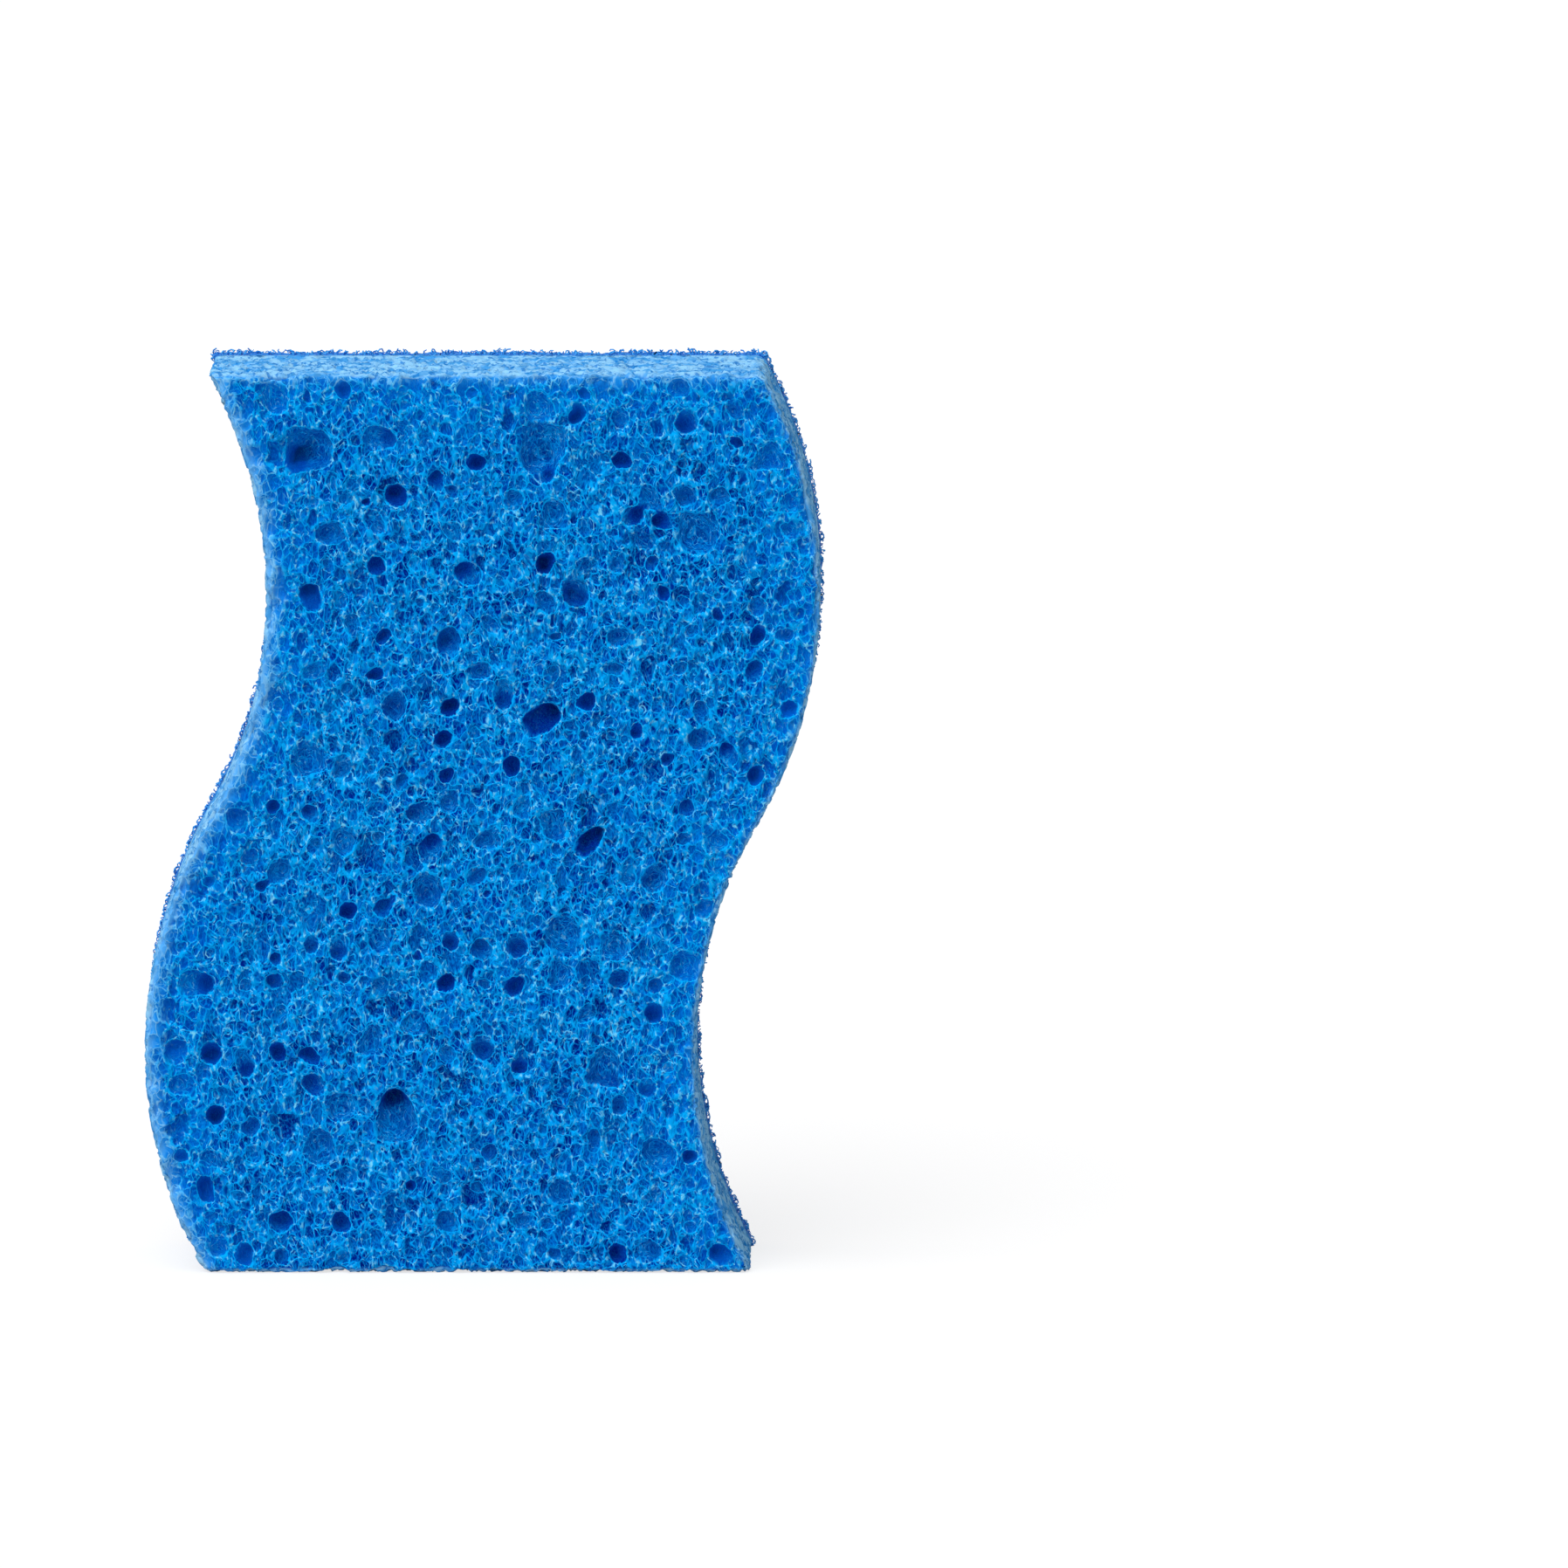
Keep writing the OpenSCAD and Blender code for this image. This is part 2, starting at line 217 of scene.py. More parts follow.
def wander(points, lump, seed):
    """Smooth random shifts from -1 to 1, three for each point, with lumps of one size."""
    table = np.random.default_rng(seed).uniform(-1, 1, (LATTICE_SIDE, LATTICE_SIDE, LATTICE_SIDE, 3))
    at = points @ LATTICE_TURN / lump
    low = np.floor(at).astype(int)
    t = at - low
    t = t * t * (3 - 2 * t)
    shift = np.zeros_like(points)
    for corner in np.ndindex(2, 2, 2):
        share = np.prod(np.where(corner, t, 1 - t), axis=1)
        i, j, k = ((low + corner) % LATTICE_SIDE).T
        shift += share[:, None] * table[i, j, k]
    return shift


def lumpy(points, layers):
    """The sum of several such shifts, each given by its lump size, its share and its seed."""
    return sum(share * wander(points, lump, seed) for lump, share, seed in layers)


print("a random shift:", wander(np.zeros((1, 3)), 1.0, 1)[0].round(2))

# %% [markdown]
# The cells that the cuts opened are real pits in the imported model, where they are neat tapered
# holes and slits. Rays shot at the model from outside find how deep each point of its skin lies.
# The place that each ray looks at wanders a little, so that neat holes get the torn rims of real
# ones.

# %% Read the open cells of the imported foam
RIM_TEAR = 0.5 * MM
RIM_LUMPS = ((2.0 * MM, 1.0, 11), (0.7 * MM, 0.5, 12), (4.5 * MM, 0.8, 13))
RAY_RUN = 1.0 * MM
RAY_REACH = 6 * MM
PLAIN_BY_SEAM = 1.0 * MM
DEEPEST_PIT = 4 * MM
PIT_FROM = 0.1 * MM


def search_tree(node):
    """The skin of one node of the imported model, ready for rays."""
    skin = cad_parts[node].data
    return BVHTree.FromPolygons([v.co for v in skin.vertices], [p.vertices[:] for p in skin.polygons])


look = foam_points + RIM_TEAR * lumpy(foam_points, RIM_LUMPS)
cad_skin = search_tree("sponge_body")
cad_pits = np.zeros(len(foam_points))
for i in np.flatnonzero(foam_points[:, 1] < SEAM_Y - PLAIN_BY_SEAM):
    out = Vector(foam_normals[i])
    start = Vector(look[i])
    start += out * (out.dot(Vector(foam_points[i]) - start) + RAY_RUN)
    gone = cad_skin.ray_cast(start, -out, RAY_REACH)[3]
    cad_pits[i] = gone - RAY_RUN if gone else 0.0
cad_pits = np.clip(cad_pits, 0, DEEPEST_PIT)
skin_opened = (cad_pits > PIT_FROM).mean()
print("deepest cell, mm:", round(cad_pits.max() / MM, 2), "skin opened:", round(skin_opened, 2))

# %% [markdown]
# A mouth in real foam is round or torn, never sharp-cornered. So each point of the face takes the
# mean opening round about as its mouth, over a wider disc beside the largest cells, and where that
# mean is low the skin is closed again. This rounds the corners off. A disc is a set of copies of
# the face's lattice, each moved by whole steps, which is quick with arrays.

# %% Round mouths on the face
OPEN_FROM = 0.15 * MM
MOUTH_FULL = 0.7 * MM
MOUTH_DISC, WIDE_DISC, BESIDE = 0.6 * MM, 1.2 * MM, 2.0 * MM
WHOLLY_OPEN = 0.95
MOUTH_RIM, MOUTH_RAMP = 0.4, 0.14
face = foam_index[:, 0, :]
face_step = WIDTH / FOAM_COUNTS[0]


def shifted(values, radius):
    """The lattice moved by each whole step within a radius, one after the other."""
    reach = round(radius / face_step)
    for across in range(-reach, reach + 1):
        for up in range(-reach, reach + 1):
            if across ** 2 + up ** 2 <= reach ** 2:
                yield np.roll(values, (across, up), (0, 1))


def mean_near(values, radius):
    return np.mean(list(shifted(values, radius)), axis=0)


def largest_near(values, radius):
    return np.max(list(shifted(values, radius)), axis=0)


face_open = (cad_pits[face] > OPEN_FROM).astype(float)
wide_mean = mean_near(face_open, WIDE_DISC)
by_large_cell = largest_near(wide_mean, BESIDE) > WHOLLY_OPEN
face_mouth = mean_near(face_open, MOUTH_DISC)
face_mouth = np.where(by_large_cell, np.minimum(face_mouth, wide_mean), face_mouth)
mouth = np.clip(cad_pits / MOUTH_FULL, 0, 1)
mouth[face] = face_mouth
cad_pits[face] *= np.clip((face_mouth - MOUTH_RIM) / MOUTH_RAMP, 0, 1)
print("face opened:", round(float((face_mouth > MOUTH_RIM).mean()), 2))

# %% [markdown]
# A narrow deep cell lies in shade all over, while a wide shallow one stays as light as the skin, and
# the finish paints that shade into the colour. What tells them apart is how far a cell lies below
# its own surroundings: the depth less the mean depth round about. The largest such value near each
# point is kept. The most sunk point of a cell spreads this painted shade over the rest of that cell
# too, fully in the deepest cells and less in the others.

# %% How sunk each cell of the face is
AROUND, NEAR, SPREAD = 1.7 * MM, 1.1 * MM, 5 * MM
IN_A_CELL = 0.3 * MM
DEEP_CELL_FROM, SPREAD_LOSS = 1.48 * MM, 0.5 * MM
face_pits = cad_pits[face]
below = face_pits - mean_near(face_pits, AROUND)
spread = below
for ring in range(round(SPREAD / face_step)):
    spread = np.where(face_pits > IN_A_CELL, largest_near(spread, face_step), below)
spread = spread - np.where(spread < DEEP_CELL_FROM, SPREAD_LOSS, 0)
sunk = np.zeros(len(foam_points))
sunk[face] = np.maximum(largest_near(below, NEAR), spread)
print("most sunk, mm:", round(sunk.max() / MM, 2))

# %% [markdown]
# What is known of each point is kept on the mesh as marks, which Blender calls attributes. The
# node trees below read them by name: where a point was and which way is inward, how deep and how
# sunk it lies, whether it is in a mouth, on the skin or on a cut edge, and how far it is from the
# outline. The top and the right edge glow less, so their distances start later.

# %% Marks on the block that the node trees read
SEAM_FADE = 0.8 * MM
TOP_MUTE, RIGHT_MUTE = 0.8 * MM, 1.4 * MM


def keep(mesh, name, values):
    """Stores one number or one vector for each point of a mesh."""
    kind, field = ("FLOAT_VECTOR", "vector") if values.ndim == 2 else ("FLOAT", "value")
    mesh.attributes.new(name, kind, "POINT").data.foreach_set(field, values.astype(np.float32).ravel())


from_middle = foam_points[:, 0] - wave(foam_points[:, 2])[0]
edge_gap = np.min([
    WIDTH / 2 + from_middle,
    HEIGHT - foam_points[:, 2] + TOP_MUTE,
    WIDTH / 2 - from_middle + RIGHT_MUTE,
], axis=0)
foam_marks = {
    "inward": -foam_normals,
    "rest": foam_points,
    "cad_pit": cad_pits / MM,
    "sunk": sunk / MM,
    "mouth": mouth,
    "skin": np.clip((SEAM_Y - foam_points[:, 1]) / SEAM_FADE, 0, 1),
    "cut": np.clip(1 + foam_normals[:, 1], 0, 1),
    "edge": edge_gap / MM,
}
for name, values in foam_marks.items():
    keep(foam_block.data, name, values)
print("marks kept:", ", ".join(foam_marks))

# %% [markdown]
# Node trees are easier to read when a line makes a node and joins it up. These small helpers do
# that for Geometry Nodes and for materials alike, because both use the same texture nodes.


# %% Helpers for node trees
def put(tree, kind, inputs=(), **settings):
    """A new node: settings first, then each input from a number, a vector or another socket."""
    made = tree.nodes.new(kind)
    for key, value in settings.items():
        setattr(made, key, value)
    for key, value in dict(inputs).items():
        if isinstance(value, bpy.types.NodeSocket):
            tree.links.new(value, made.inputs[key])
        else:
            made.inputs[key].default_value = value
    return made


def calc(tree, operation, a, b=0.0, c=0.0, clamp=False):
    made = put(tree, "ShaderNodeMath", {0: a, 1: b, 2: c}, operation=operation, use_clamp=clamp)
    return made.outputs[0]


def product(tree, *values):
    out = values[0]
    for value in values[1:]:
        out = calc(tree, "MULTIPLY", out, value)
    return out


def uneven(tree, value, noise, share):
    """A value made uneven by a share of noise, which goes both ways from one half."""
    return calc(tree, "MULTIPLY_ADD", calc(tree, "SUBTRACT", noise, 0.5), share, value)


def step(tree, value, low, high, out_low=0.0, out_high=1.0):
    """A smooth step of a value from low to high, from one share to another."""
    ends = {"Value": value, "From Min": low, "From Max": high, "To Min": out_low, "To Max": out_high}
    return put(tree, "ShaderNodeMapRange", ends, interpolation_type="SMOOTHSTEP").outputs[0]


def vector(tree, operation, a, b=(0, 0, 0), scale=1.0):
    return put(tree, "ShaderNodeVectorMath", {0: a, 1: b, 3: scale}, operation=operation).outputs[0]


def noise_of(tree, space, scale, detail, output=0):
    made = put(tree, "ShaderNodeTexNoise", {"Vector": space, "Scale": scale, "Detail": detail})
    return made.outputs[output]


# %% [markdown]
# Foam is a crowd of bubbles, and a Voronoi pattern is very like it: scattered points, each with
# the space nearest to it. The distance to the nearest point draws round cells that stand alone,
# and how much further the second nearest is draws small cells that share thin walls. The press
# that the foam came out of flattens its cells, so the pattern is flattened too, and the cut edges
# show slits.

# %% The foam's own cells
TO_MM = 1 / MM
# Each kind of round cell: its pitch in mm, the share that the cut opens, and its relative depth
ROUND_CELLS = ((1.3, 0.5, 0.8), (2.1, 0.5, 0.7), (3.4, 0.4, 0.5))
FINE_CELL = 0.6
COARSE_CELL = 1.2
CELL_FLATTEN = 2.4
CELL_STRETCH = 1.45
SPACE_WANDER = 0.6
CELL_SCATTER = 0.95
LEAST_RADIUS, RADIUS_SPAN = 0.3, 0.28
RIM_UNEVEN = 0.9
OUT_OF_REACH = 9.0
# Each noise: its scale and its detail
WARP_NOISE, RIM_NOISE = (0.6, 1.5), (1.7, 1.0)


def cell_space(tree, place):
    """Millimetres in which the cells are round: flattened across the thickness, a little warped."""
    grid = vector(tree, "MULTIPLY", place, (TO_MM, TO_MM * CELL_FLATTEN, TO_MM / CELL_STRETCH))
    noise = noise_of(tree, grid, *WARP_NOISE, "Color")
    shift = vector(tree, "SUBTRACT", noise, (0.5, 0.5, 0.5))
    drift = vector(tree, "SCALE", shift, scale=2 * SPACE_WANDER)
    return vector(tree, "ADD", grid, drift)


def cells(tree, space, size, feature="F1"):
    return put(tree, "ShaderNodeTexVoronoi",
               {"Vector": space, "Scale": 1 / size, "Randomness": CELL_SCATTER},
               feature=feature, voronoi_dimensions="3D").outputs


def rough_edge(tree, space):
    """A small random number that makes the rims of round cells uneven."""
    return calc(tree, "MULTIPLY_ADD", noise_of(tree, space, *RIM_NOISE), RIM_UNEVEN, -RIM_UNEVEN / 2)


def round_cells(tree, space, size, share, rough):
    """Round open cells: how far out a point is, 1 at the rim, the cell's radius and its chance."""
    made = cells(tree, space, size)
    chance = put(tree, "ShaderNodeSeparateXYZ", {0: made["Color"]}).outputs
    radius = calc(tree, "MULTIPLY_ADD", chance[0], RADIUS_SPAN, LEAST_RADIUS)
    closed = calc(tree, "GREATER_THAN", chance[1], share)
    out = calc(tree, "ADD", calc(tree, "DIVIDE", made["Distance"], radius), rough)
    return calc(tree, "MULTIPLY_ADD", closed, OUT_OF_REACH, out), radius, chance[2]


def walled_cells(tree, space, size):
    """Cells that share thin walls: the distance from the wall, in millimetres, and random colours."""
    near, far = cells(tree, space, size), cells(tree, space, size, "F2")
    gap = calc(tree, "MULTIPLY", calc(tree, "SUBTRACT", far["Distance"], near["Distance"]), size)
    return gap, near["Color"]


print("pitches of the cells, mm:", [cell[0] for cell in ROUND_CELLS], FINE_CELL, COARSE_CELL)

# %% [markdown]
# Between the cells of the model the foam is open too, down to cells finer than a millimetre. They
# follow a rule: they are the cells of that pattern, cut where the surface cuts them. A Geometry
# Nodes tree works out how deep each point of the block lies in them, takes the deepest of all the
# kinds and of the model's own pit, and pushes the point inward by it.

# %% A tree that opens the fine cells
SMALL_CELL_WALL = (0.02, 0.5)
BOWL_ROUND = 0.55
LEAST_DEPTH = 0.6
PIT_BLUR = 1
PIT_UNEVEN = 0.5
FUZZ_NOISE = (2.2, 3.0)
FUZZ_MIDDLE, FUZZ_GAIN = 0.4, 2.0


def new_tree(name, sizes):
    """A Geometry Nodes tree with named inputs: geometry, then the sizes, then a material."""
    tree = bpy.data.node_groups.new(name, "GeometryNodeTree")
    tree.interface.new_socket("Geometry", in_out="INPUT", socket_type="NodeSocketGeometry")
    for title, value in sizes.items():
        kind = "NodeSocketInt" if isinstance(value, int) else "NodeSocketFloat"
        tree.interface.new_socket(title, in_out="INPUT", socket_type=kind).default_value = value
    tree.interface.new_socket("Material", in_out="INPUT", socket_type="NodeSocketMaterial")
    tree.interface.new_socket("Geometry", in_out="OUTPUT", socket_type="NodeSocketGeometry")
    return tree, put(tree, "NodeGroupInput").outputs


def end_tree(tree, geometry, material):
    """Makes what the tree built real, gives it its finish and sends it out."""
    real = put(tree, "GeometryNodeRealizeInstances", {"Geometry": geometry})
    painted = put(tree, "GeometryNodeSetMaterial", {"Geometry": real.outputs[0], "Material": material})
    put(tree, "NodeGroupOutput", {0: painted.outputs[0]})


def mark_of(tree, name, kind="FLOAT"):
    return put(tree, "GeometryNodeInputNamedAttribute", {"Name": name}, data_type=kind).outputs[0]


def bowl_depth(tree, space, rough, cell, round_depth):
    """How deep one kind of round cells lies: bowls that are deeper where they are wider."""
    size, share, deep = cell
    out, radius, chance = round_cells(tree, space, size, share, rough)
    inside = calc(tree, "SUBTRACT", 1.0, calc(tree, "MULTIPLY", out, out), clamp=True)
    reach = calc(tree, "MULTIPLY_ADD", chance, size * deep, size * deep * LEAST_DEPTH)
    full = product(tree, radius, reach, round_depth)
    return product(tree, calc(tree, "POWER", inside, BOWL_ROUND), full)


def open_cells_tree():
    tree, inputs = new_tree("open_cells", {"Round depth": 1.0, "Fine depth": 0.2, "Fuzz": 0.07})
    space = cell_space(tree, mark_of(tree, "rest", "FLOAT_VECTOR"))
    rough = rough_edge(tree, space)
    gap = walled_cells(tree, space, COARSE_CELL)[0]
    small = product(tree, step(tree, gap, *SMALL_CELL_WALL), inputs["Fine depth"])
    depth = small
    for cell in ROUND_CELLS:
        bowl = bowl_depth(tree, space, rough, cell, inputs["Round depth"])
        depth = calc(tree, "MAXIMUM", depth, bowl)
    cad_pit = put(tree, "GeometryNodeBlurAttribute", {"Iterations": PIT_BLUR}, data_type="FLOAT")
    tree.links.new(mark_of(tree, "cad_pit"), cad_pit.inputs[0])
    pit = calc(tree, "MULTIPLY_ADD", small, PIT_UNEVEN, cad_pit.outputs[0])
    noise = calc(tree, "SUBTRACT", noise_of(tree, space, *FUZZ_NOISE), FUZZ_MIDDLE)
    fuzz = product(tree, noise, inputs["Fuzz"])
    depth = calc(tree, "MULTIPLY_ADD", fuzz, FUZZ_GAIN, calc(tree, "MAXIMUM", depth, pit))
    depth = product(tree, depth, mark_of(tree, "skin"))
    inward = mark_of(tree, "inward", "FLOAT_VECTOR")
    push = vector(tree, "SCALE", inward, scale=product(tree, depth, MM))
    marked = {"Geometry": inputs["Geometry"], "Name": "pit", "Value": depth}
    kept = put(tree, "GeometryNodeStoreNamedAttribute", marked, data_type="FLOAT", domain="POINT")
    moved = put(tree, "GeometryNodeSetPosition", {"Geometry": kept.outputs[0], "Offset": push})
    end_tree(tree, moved.outputs[0], inputs["Material"])
    return tree


opening_tree = open_cells_tree()
print("tree that opens the cells:", len(opening_tree.nodes), "nodes")

# %% [markdown]
# The foam's colour is not one colour. Thin cell walls catch the light and look almost white blue,
# which is painted in as highlights, the cells between them are a deep clear blue, and deep pits turn
# navy with painted shade. A cut edge is paler, because the blade closes the cells. The same pattern
# and the same marks that made the shape also mix these colours, so that shape and colour agree.


# %% Colours
def linear(red, green, blue):
    """A screen colour from 0 to 255 as the linear colour that a shader wants."""
    parts = [c / 255 for c in (red, green, blue)]
    return [((c + 0.055) / 1.055) ** 2.4 if c > 0.04 else c / 12.92 for c in parts] + [1.0]


# Painted highlights: pale lines on the cell walls and rims, and almost white glints
HIGHLIGHT_LINE = linear(4, 172, 252)
GLINT = linear(118, 214, 255)
WALL = linear(0, 142, 236)
CELL = linear(0, 100, 198)
# A random blue of the small cells, also painted shade in the sunk cells
DEEP_TONE_AND_SHADE = linear(0, 56, 164)
# A random blue of the small cells and fibres, also painted shade in the middles of round cells
DARK_TONE_AND_SHADE = linear(0, 32, 136)
BARE_CELL = linear(0, 92, 182)
# Painted shade for the sunk cells, down to navy
PIT_SHADE = linear(0, 36, 140)
DEEP_PIT_SHADE = linear(0, 8, 76)
# Painted light near the outline, where light comes through the thin foam
EDGE_CELL_LIT = linear(0, 112, 224)
EDGE_GLOW = linear(36, 158, 246)
# The pale cut face, also the painted glow of the strip along the outline
CUT_AND_GLOW = linear(146, 208, 250)
CUT_SHADE = linear(70, 160, 232)
CUT_SLIT = linear(20, 124, 210)
# Painted light on the free fibres and painted shade on the mat
FIBRE_LIT = linear(72, 180, 252)
FIBRE_SHADED = linear(0, 86, 190)


def mix(tree, factor, a, b):
    return put(tree, "ShaderNodeMix", {0: factor, 6: a, 7: b}, data_type="RGBA").outputs[2]


def new_material(name, roughness, shine):
    material = bpy.data.materials.new(name)
    material.use_nodes = True
    shader = material.node_tree.nodes["Principled BSDF"]
    shader.inputs["Roughness"].default_value = roughness
    shader.inputs["Specular IOR Level"].default_value = shine
    return material, material.node_tree, shader


print("a cell wall's colour in linear light:", [round(v, 3) for v in WALL])

# %% [markdown]
# A finish that follows a surface has to be read in the right place. On the skin the pattern is read
# where the point was before it was pushed inward. Inside a large cell it is read where the point is
# now, or else the pattern would smear down the wall of the cell.

# %% What the foam's finish reads
IN_LARGE_CELL = (0.5, 0.9)
PATCH_NOISE, GRAIN_NOISE = (0.9, 3.0), (2.4, 2.0)


def shader_mark(tree, name, output):
    return put(tree, "ShaderNodeAttribute", attribute_name=name).outputs[output]


def foam_reads(tree):
    """The marks of the mesh, the space of the foam's cells and two grades of noise in it."""
    names = ("cad_pit", "sunk", "mouth", "pit", "cut", "edge")
    marks = {name: shader_mark(tree, name, "Fac") for name in names}
    rest = shader_mark(tree, "rest", "Vector")
    now = put(tree, "ShaderNodeTexCoord").outputs["Object"]
    inside = step(tree, marks["cad_pit"], *IN_LARGE_CELL)
    place = put(tree, "ShaderNodeMix", {0: inside, 4: rest, 5: now}, data_type="VECTOR").outputs[1]
    space = cell_space(tree, place)
    return SimpleNamespace(
        place=place,
        space=space,
        rough=rough_edge(tree, space),
        patch=noise_of(tree, space, *PATCH_NOISE),
        grain=noise_of(tree, space, *GRAIN_NOISE),
        **marks,
    )


# %% [markdown]
# The small cells share thin walls. Each cell takes one of three blues by chance, and the walls are
# lighter. A pale line of painted highlight runs along the middle of each wall, and noise breaks it
# off in places, as real walls catch the light only in parts.

# %% Small cells and their walls
# Here and below, a bracket is a smooth step: where it starts and ends, and its share at either
# end. A pair goes from 0 to 1. The first four are in millimetres from the middle of a wall.
FINE_LINE, FINE_WALL = (0.0, 0.08, 1.0, 0.0), (0.03, 0.16, 0.5, 0.0)
COARSE_LINE, COARSE_WALL = (0.03, 0.1, 1.0, 0.0), (0.07, 0.2, 1.0, 0.0)
FINE_BROKEN, COARSE_BROKEN = (0.4, 0.6, 0.0, 0.75), (0.3, 0.5, 0.35, 1.0)
DEEP_CHANCE, DARK_CHANCE = (0.2, 0.6), (0.68, 0.8)
COARSE_WALL_SHARE = 0.75


def small_cells(tree, reads):
    """The small cells' colour, the painted highlight lines along their walls, and the thick walls."""
    fine, _ = walled_cells(tree, reads.space, FINE_CELL)
    coarse, chances = walled_cells(tree, reads.space, COARSE_CELL)
    chance = put(tree, "ShaderNodeSeparateXYZ", {0: chances}).outputs[0]
    wall = step(tree, coarse, *COARSE_WALL)
    fine_line = product(tree, step(tree, fine, *FINE_LINE), step(tree, reads.patch, *FINE_BROKEN))
    coarse_line = product(tree, step(tree, coarse, *COARSE_LINE), step(tree, reads.grain, *COARSE_BROKEN))
    colour = mix(tree, step(tree, chance, *DEEP_CHANCE), CELL, DEEP_TONE_AND_SHADE)
    colour = mix(tree, step(tree, chance, *DARK_CHANCE), colour, DARK_TONE_AND_SHADE)
    colour = mix(tree, step(tree, fine, *FINE_WALL), colour, WALL)
    colour = mix(tree, product(tree, wall, COARSE_WALL_SHARE), colour, WALL)
    return colour, calc(tree, "MAXIMUM", fine_line, coarse_line), wall


# %% [markdown]
# A round cell shows its bottom, which is bare or dark by chance, with painted shade that makes it
# darkest in the middle. The walls of the small cells fade inside it, and its own rim is a pale line
# of painted highlight.

# %% Round cells
# The steps are measured from the middle of a cell, 0, to its rim, 1
ROUND_INSIDE, ROUND_VEIL = (0.9, 0.98, 0.85, 0.0), (0.86, 0.98, 0.3, 1.0)
ROUND_MIDDLE_SHADE, ROUND_DARK = (0.2, 0.95, 1.2, 0.7), (0.25, 0.9)
RIM_START, RIM_END = (0.94, 0.97), (1.02, 1.04)
RIM_WIDTH = 0.16
RIM_BROKEN = (0.3, 0.5, 0.4, 1.0)


def add_round_cells(tree, reads, colour):
    """The colour with round cells in it, their middles in painted shade, how much other lines show there,
    and the pale rims painted as highlights.
    """
    veil, rim_highlights = 1.0, 0.0
    for size, share, _ in ROUND_CELLS:
        out, _, chance = round_cells(tree, reads.space, size, share, reads.rough)
        # Painted shade makes the middle of a round cell darker than its rim
        dark = product(tree, chance, step(tree, out, *ROUND_MIDDLE_SHADE))
        bottom = mix(tree, step(tree, dark, *ROUND_DARK), BARE_CELL, DARK_TONE_AND_SHADE)
        colour = mix(tree, step(tree, out, *ROUND_INSIDE), colour, bottom)
        veil = calc(tree, "MINIMUM", veil, step(tree, out, *ROUND_VEIL))
        width = RIM_WIDTH / size
        inner = step(tree, out, RIM_START[0] - width, RIM_START[1])
        outer = step(tree, out, RIM_END[0], RIM_END[1] + 2 * width, 1.0, 0.0)
        rim_highlight = product(tree, inner, outer, step(tree, reads.grain, *RIM_BROKEN))
        rim_highlights = calc(tree, "MAXIMUM", rim_highlights, rim_highlight)
    return colour, veil, rim_highlights


# %% [markdown]
# The large cells of the model get painted shade, as dark as they are sunk. Their mouths are torn, so
# noise shifts the rim, and a thin pale line of painted highlight follows it. Fine fibres run over
# everything, dark and light by turns, and the light ones are fainter in the open cells.

# %% Large cells and fibres
TORN_SHARE, BOTTOM_SHARE = 0.4, 0.7
MOUTH_OPENS, SUNK_SHOWS = (0.4, 0.5), (0.5, 1.2, 0.45, 0.96)
TORN_RIM_START, TORN_RIM_END = (0.26, 0.32), (0.38, 0.44, 1.0, 0.0)
# How many millimetres sunk or deep a point is where its painted shade turns to the next darker blue
DEEP_SUNK, PIT_SUNK, DEEPEST_SUNK = (0.7, 1.2), (1.15, 1.5), (1.5, 1.85)
DEEPEST_DEEP = (1.5, 2.6)
FIBRE_GRID = (6.0, 6.0, 4.0)
FIBRE_NOISE = (1.0, 2.0)
DARK_FIBRES, LIGHT_FIBRES = (0.34, 0.5, 0.62, 0.0), (0.5, 0.66, 0.0, 0.5)
FAINT_IN_CELLS = (0.0, 1.0, 1.0, 0.35)


def add_large_cells(tree, reads, colour):
    """The colour with the model's cells in it, painted darker as shade the more sunk they lie, how open
    each point is, and the pale rims painted as highlights.
    """
    torn = uneven(tree, reads.mouth, reads.grain, TORN_SHARE)
    # Painted shade: the more sunk a point lies, the darker its blue
    bottom = uneven(tree, reads.sunk, reads.patch, BOTTOM_SHARE)
    deepest = step(tree, bottom, *DEEPEST_SUNK)
    deepest = calc(tree, "MAXIMUM", step(tree, reads.cad_pit, *DEEPEST_DEEP), deepest)
    hole_shade = mix(tree, step(tree, bottom, *DEEP_SUNK), BARE_CELL, DEEP_TONE_AND_SHADE)
    hole_shade = mix(tree, step(tree, bottom, *PIT_SUNK), hole_shade, PIT_SHADE)
    hole_shade = mix(tree, deepest, hole_shade, DEEP_PIT_SHADE)
    opened = product(tree, step(tree, torn, *MOUTH_OPENS), step(tree, reads.sunk, *SUNK_SHOWS))
    rim_highlight = product(tree, step(tree, torn, *TORN_RIM_START), step(tree, torn, *TORN_RIM_END))
    return mix(tree, opened, colour, hole_shade), opened, rim_highlight


def add_fibres(tree, reads, colour, opened):
    """The colour with dark and light fibres on it, the light ones fainter in the open cells."""
    fibres = noise_of(tree, vector(tree, "MULTIPLY", reads.space, FIBRE_GRID), *FIBRE_NOISE)
    light = product(tree, step(tree, fibres, *LIGHT_FIBRES), step(tree, opened, *FAINT_IN_CELLS))
    colour = mix(tree, step(tree, fibres, *DARK_FIBRES), colour, DARK_TONE_AND_SHADE)
    return mix(tree, light, colour, WALL)


# %% [markdown]
# The pale lines are put on next as painted highlights, with a few almost white glints. Thin foam
# lets light through, so the cells near the outline are painted lighter, and the last few millimetres
# are painted to glow, in a strip that noise makes ragged.

# %% Lines and glowing edges
GLINTS, LINE_STRENGTH = (0.53, 0.7), (0.34, 0.5, 0.5, 1.0)
BETWEEN_LINES = (0.0, 0.5, 1.0, 0.0)
